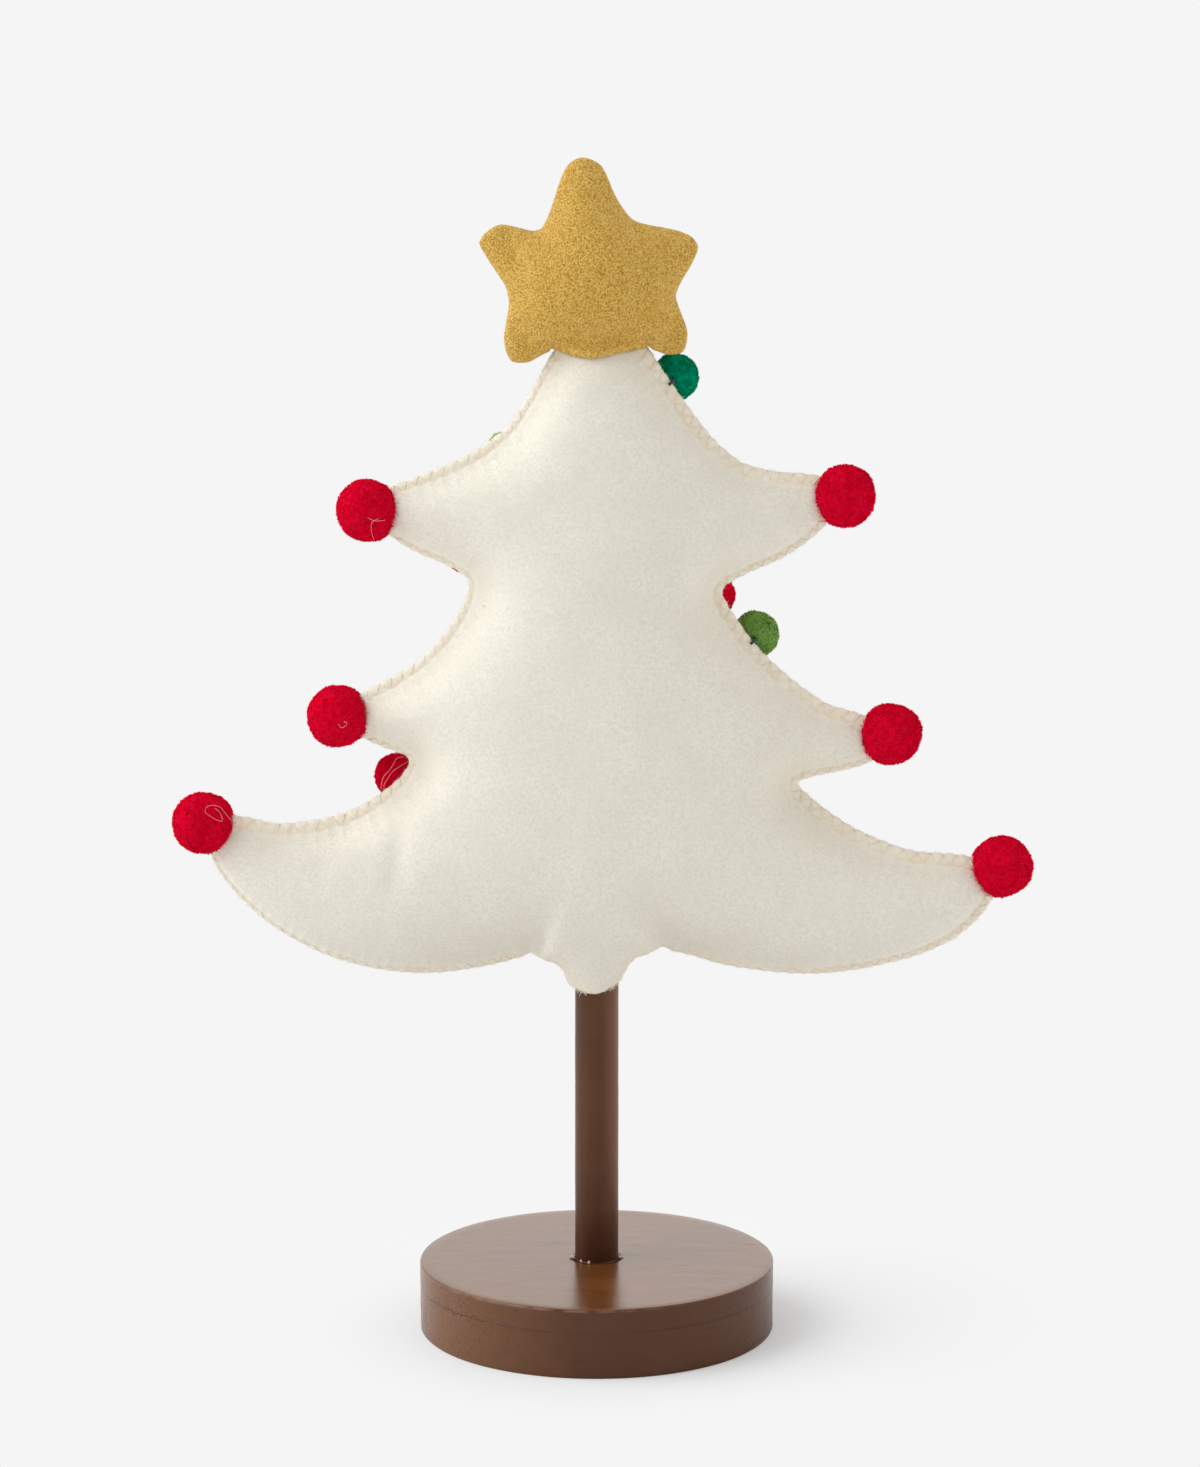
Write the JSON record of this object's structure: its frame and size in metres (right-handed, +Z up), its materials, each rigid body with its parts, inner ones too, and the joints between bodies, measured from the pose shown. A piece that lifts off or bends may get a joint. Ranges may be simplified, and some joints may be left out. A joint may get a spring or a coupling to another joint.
{
  "type": "tabletop christmas tree",
  "caption": "Stuffed felt tree with stitched edges on a dowel and round wooden base, with a stuffed star, pom-poms on the branch tips and pom-pom garlands on the front.",
  "frame": {"origin": "centre of the base's flat underside, on the pole's axis", "axes": "+Z up along the pole, the plain back of the tree towards -Y, the side with the garlands towards +Y, +X to the right when seen from the plain back"},
  "size_m": [0.3687, 0.154, 0.5045],
  "materials": {
    "painted_wood": "satin brown paint over wood",
    "glue": "hard glossy glue, painted over",
    "ivory_felt": "matt pressed wool felt",
    "stuffing": "loose fibre filling",
    "seam_thread": "thin cream cotton thread",
    "mustard_wool": "matt looped wool cloth",
    "red_wool": "cut wool pile",
    "crimson_wool": "cut wool pile",
    "emerald_wool": "cut wool pile",
    "olive_wool": "cut wool pile",
    "lime_wool": "cut wool pile",
    "green_yarn": "twisted dark green yarn"
  },
  "bodies": {
    "root": {"base_lower_ply": "painted_wood", "base_upper_ply": "painted_wood", "pole": "painted_wood", "pole_glue_bead": "glue", "tree_back_panel": "ivory_felt", "tree_front_panel": "ivory_felt", "tree_stuffing": "stuffing", "tree_edge_thread": "seam_thread", "star_back_panel": "mustard_wool", "star_front_panel": "mustard_wool", "star_stuffing": "stuffing", "tip_pom_upper_left": "red_wool", "tip_pom_middle_left": "red_wool", "tip_pom_lower_left": "red_wool", "tip_pom_lower_right": "red_wool", "tip_pom_middle_right": "red_wool", "tip_pom_upper_right": "red_wool", "garland_yarn_upper": "green_yarn", "garland_tie_upper": "green_yarn", "garland_pom_upper_1": "emerald_wool", "garland_pom_upper_2": "red_wool", "garland_pom_upper_3": "olive_wool", "garland_pom_upper_4": "crimson_wool", "garland_pom_upper_5": "lime_wool", "garland_yarn_middle": "green_yarn", "garland_pom_middle_1": "red_wool", "garland_pom_middle_2": "lime_wool", "garland_pom_middle_3": "emerald_wool", "garland_pom_middle_4": "crimson_wool", "garland_pom_middle_5": "olive_wool", "garland_pom_middle_6": "emerald_wool", "garland_pom_middle_7": "crimson_wool", "garland_yarn_lower": "green_yarn", "garland_tie_lower": "green_yarn", "garland_pom_lower_1": "olive_wool", "garland_pom_lower_2": "crimson_wool", "garland_pom_lower_3": "lime_wool", "garland_pom_lower_4": "emerald_wool", "garland_pom_lower_5": "red_wool", "garland_pom_lower_6": "olive_wool", "garland_pom_lower_7": "emerald_wool", "garland_pom_lower_8": "lime_wool", "garland_pom_lower_9": "crimson_wool"}
  },
  "joints": []
}
